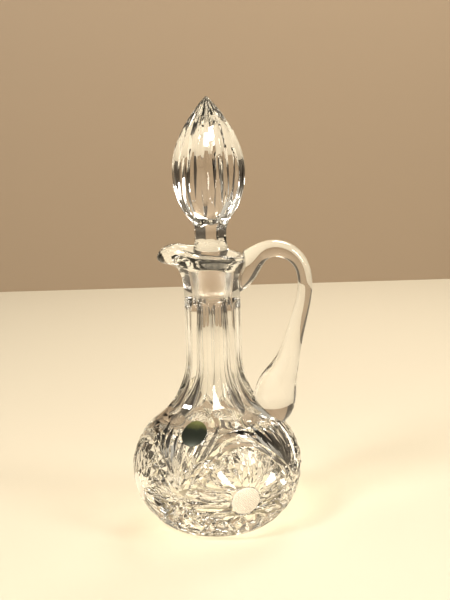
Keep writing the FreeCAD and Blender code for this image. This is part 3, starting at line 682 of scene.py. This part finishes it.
def ground_matt(name, roughness, through):
    """Glass left matt by the grinding wheel; through is the share of light that passes."""
    mat = crystal(name, roughness, (0.86, 0.79, 0.71), (0.90, 0.83, 0.75), 900.0, 0.08)
    mat.node_tree.nodes["Principled BSDF"].inputs["Transmission Weight"].default_value = through
    return mat


# the foil's painted sheen brightens from the lower to the upper of these two heights
SEAL_LOW, SEAL_HIGH = 0.070, 0.083  # heights of the seal's lower and upper edges, in metres


def foil():
    """Near-black green metallised foil, faintly mottled, with a painted olive sheen that brightens toward
    its upper edge.
    """
    mat, nodes, links, skin = new_material("seal_foil")
    skin.inputs["Metallic"].default_value = 0.55
    skin.inputs["Roughness"].default_value = 0.3
    place = nodes.new("ShaderNodeTexCoord")
    split = nodes.new("ShaderNodeSeparateXYZ")
    links.new(place.outputs["Object"], split.inputs["Vector"])
    # painted sheen: the colour runs from near black up to olive as the height rises
    high = nodes.new("ShaderNodeMapRange")
    high.inputs["From Min"].default_value = SEAL_LOW
    high.inputs["From Max"].default_value = SEAL_HIGH
    links.new(split.outputs["Z"], high.inputs["Value"])
    mix = nodes.new("ShaderNodeMath")
    mix.operation = "MULTIPLY_ADD"
    mix.inputs[1].default_value = 0.25
    links.new(noise(nodes, links, 320.0, place=place), mix.inputs[0])
    links.new(high.outputs["Result"], mix.inputs[2])
    tone = ramp(nodes, links, mix.outputs["Value"], (0.010, 0.014, 0.008), (0.085, 0.090, 0.024), 0.72)
    links.new(tone, skin.inputs["Base Color"])
    return mat


def finish(obj, which):
    """Gives each face the material slot that which() picks from its middle, in millimetres."""
    for face in obj.data.polygons:
        face.material_index = which(*(face.center / MM))


CLEAR, SEAT, BUTTON = 0, 1, 2  # the bottle's material slots; the stopper has the first two
for obj, mats in ((bottle, [polished("bottle_glass"), ground_matt("bottle_seat", 0.32, 1.0),
                            ground_matt("bottle_button", 0.5, 0.45)]),
                  (handle, [polished("handle_glass")]),
                  (stopper, [polished("stopper_glass"), ground_matt("stopper_plug", 0.32, 1.0)])):
    obj.data.materials.clear()
    for mat in mats:
        obj.data.materials.append(mat)

buttons = [Vector(on_blank(MOTIF_AZ + 90 * k, BUTTON_Z)) for k in range(MOTIFS)]


def bottle_finish(x, y, z):
    """Ground glass in the seat and on the faces of the buttons."""
    r = math.hypot(x, y)
    if SEAT_LOW < z < SEAT_TOP + 0.2 and r < plug_r(z) + 0.3:
        return SEAT
    if r > CHAMBER_R and any((Vector((x, y, z)) - b).length < BUTTON_R for b in buttons):
        return BUTTON
    return CLEAR


def stopper_finish(x, y, z):
    """Ground glass on the plug."""
    return SEAT if PLUG_LOW + 0.2 < z < PLUG_TOP + 0.2 else CLEAR


finish(bottle, bottle_finish)
finish(stopper, stopper_finish)
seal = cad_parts["foil_seal"]
seal.data.materials.clear()
seal.data.materials.append(foil())

for obj, node, body, slot in ((bottle, "bottle", "decanter", "crystal"),
                              (handle, "handle", "decanter", "handle_crystal"),
                              (stopper, "stopper", "stopper", "stopper_crystal")):
    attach(obj, body)
    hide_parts(node)

# ------------------------------------------------------------------ floor, light and camera


def plain(name, low, high, scale):
    """Matt paint that drifts a little between two colours."""
    mat, nodes, links, skin = new_material(name)
    links.new(ramp(nodes, links, noise(nodes, links, scale), low, high), skin.inputs["Base Color"])
    skin.inputs["Roughness"].default_value = 0.6
    return mat


def sheet(name, corners, mat):
    """A flat stage sheet with its corners in metres."""
    obj = piece(name, np.array(corners) / MM, [(0, 1, 2, 3)])
    obj.data.materials.append(mat)
    return obj


def wall(name, left, right, y, mat):
    """An upright sheet across the back of the stage."""
    return sheet(name, [(left, y, 0), (right, y, 0), (right, y, WALL_HIGH), (left, y, WALL_HIGH)], mat)


ROOM, WALL_HIGH, BACK_Y, FLAG_Y = 3, 3, 1.02, 1.0
sheet("floor", [(-ROOM, -ROOM, 0), (ROOM, -ROOM, 0), (ROOM, ROOM, 0), (-ROOM, ROOM, 0)],
      plain("floor", (0.48, 0.435, 0.35), (0.51, 0.46, 0.37), 3))
wall("backdrop", -ROOM, ROOM, BACK_Y, plain("backdrop", (0.25, 0.185, 0.122), (0.28, 0.208, 0.138), 2))
# near-black sheets at the ends of the backdrop, out of the picture, that draw the glass's edges dark:
# painted shade standing in for the shaded room around
painted_shade_sheet = plain("painted_shade_sheet", (0.022, 0.015, 0.009), (0.030, 0.020, 0.012), 2)
wall("shade_sheet_left", -ROOM, -0.44, FLAG_Y, painted_shade_sheet)
wall("shade_sheet_right", 0.46, ROOM, FLAG_Y, painted_shade_sheet)


def softbox(name, where, aim, width, height, watts, colour):
    """A rectangular area light, in metres."""
    light = bpy.data.lights.new(name, "AREA")
    light.shape, light.size, light.size_y = "RECTANGLE", width, height
    light.energy, light.color = watts, colour
    obj = bpy.data.objects.new(name, light)
    bpy.context.scene.collection.objects.link(obj)
    obj.location = where
    obj.rotation_euler = (Vector(aim) - Vector(where)).to_track_quat("-Z", "Y").to_euler()


softbox("key", (-0.9, -0.9, 1.4), (0, 0, 0.12), 0.36, 0.36, 45, (1.0, 0.93, 0.82))
softbox("fill", (1.2, -0.7, 0.9), (0, 0, 0.12), 0.4, 0.9, 22, (1.0, 0.93, 0.81))
softbox("rim", (0.35, 0.85, 1.15), (0, 0.1, 0.05), 0.5, 0.5, 14, (1.0, 0.92, 0.78))
world = bpy.data.worlds.new("studio")
bpy.context.scene.world = world
world.use_nodes = True
nodes, links = world.node_tree.nodes, world.node_tree.links
# brown walls under a bright ceiling
direction = nodes.new("ShaderNodeTexCoord")
split = nodes.new("ShaderNodeSeparateXYZ")
links.new(direction.outputs["Generated"], split.inputs["Vector"])
room = ramp(nodes, links, split.outputs["Z"], (0.13, 0.098, 0.066), (0.80, 0.73, 0.60), 0.12, 0.55)
links.new(room, nodes["Background"].inputs["Color"])
nodes["Background"].inputs["Strength"].default_value = 0.7

TILT, ROLL, EYE = math.radians(10.187), math.radians(1.68), (0.0088, -0.7822, 0.30025)
ahead = Vector((0, math.cos(TILT), -math.sin(TILT)))
up0, right0 = Vector((0, math.sin(TILT), math.cos(TILT))), Vector((1, 0, 0))
right = right0 * math.cos(ROLL) - up0 * math.sin(ROLL)
up = up0 * math.cos(ROLL) + right0 * math.sin(ROLL)
camera = bpy.data.objects.new("camera", bpy.data.cameras.new("camera"))
bpy.context.scene.collection.objects.link(camera)
camera.matrix_world = Matrix(((right.x, up.x, -ahead.x, EYE[0]), (right.y, up.y, -ahead.y, EYE[1]),
                              (right.z, up.z, -ahead.z, EYE[2]), (0, 0, 0, 1)))
camera.data.lens = 68.4
camera.data.sensor_width = 36.0
camera.data.clip_start = 0.01
bpy.context.scene.camera = camera
bpy.context.scene.view_settings.view_transform = "Standard"
